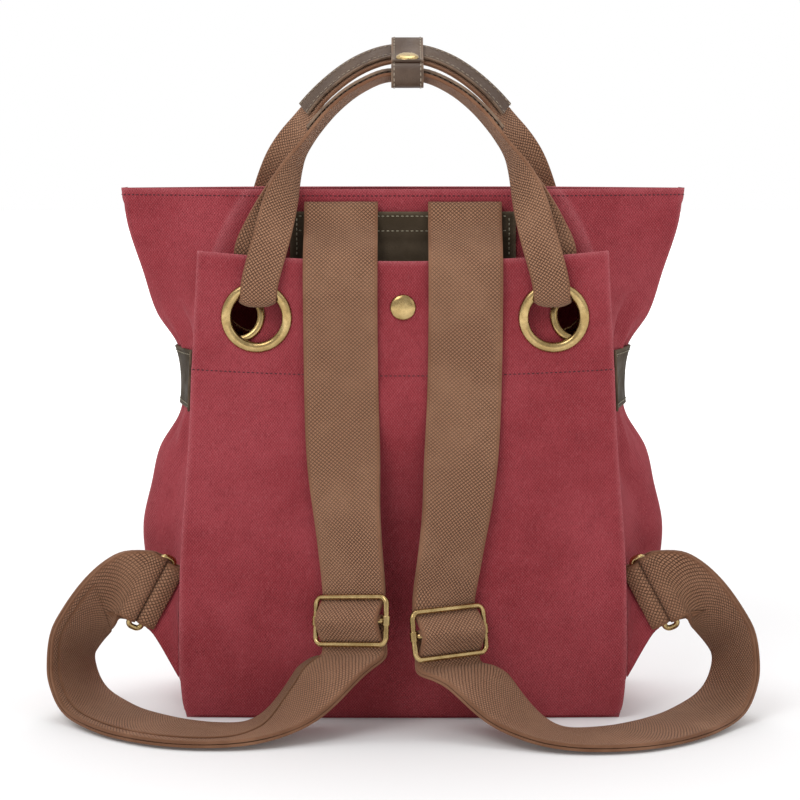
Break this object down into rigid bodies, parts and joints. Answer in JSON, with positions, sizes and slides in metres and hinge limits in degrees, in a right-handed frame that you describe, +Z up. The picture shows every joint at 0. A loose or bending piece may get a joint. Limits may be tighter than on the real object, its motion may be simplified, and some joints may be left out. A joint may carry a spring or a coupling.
{
  "type": "canvas tote backpack",
  "caption": "Canvas tote backpack with a pinched waist, leather patch and belts, webbing carry handles joined by a snap keeper, adjustable shoulder straps and a flat base.",
  "frame": {"origin": "middle of the flat base, on the floor", "axes": "+Z up, -Y towards the strap side that the wearer's back meets, +X to the right seen from the strap side"},
  "size_m": [0.4876, 0.2152, 0.4631],
  "materials": {
    "canvas": "washed crimson cotton canvas",
    "webbing": "brown woven cotton webbing",
    "dark_leather": "dark olive-brown leather, satin",
    "grey_leather": "grey-brown leather, satin",
    "brass": "aged brass"
  },
  "bodies": {
    "root": {"body": "canvas", "back_panel": "canvas", "panel_grommet_left": "brass", "panel_grommet_right": "brass", "body_grommet_left": "brass", "body_grommet_right": "brass", "front_grommet_left": "brass", "front_grommet_right": "brass", "panel_snap": "brass", "leather_patch": "dark_leather", "side_belt_left": "dark_leather", "side_belt_right": "dark_leather", "back_handle": "webbing", "front_handle": "webbing", "back_handle_grip": "grey_leather", "front_handle_grip": "grey_leather", "handle_keeper": "grey_leather", "keeper_snap": "brass", "shoulder_strap_left": "webbing", "shoulder_strap_right": "webbing", "slider_left": "brass", "slider_right": "brass", "strap_ring_left": "brass", "strap_ring_right": "brass", "ring_tab_left": "webbing", "ring_tab_right": "webbing", "strap_ear_left": "canvas", "strap_ear_right": "canvas"}
  },
  "joints": []
}
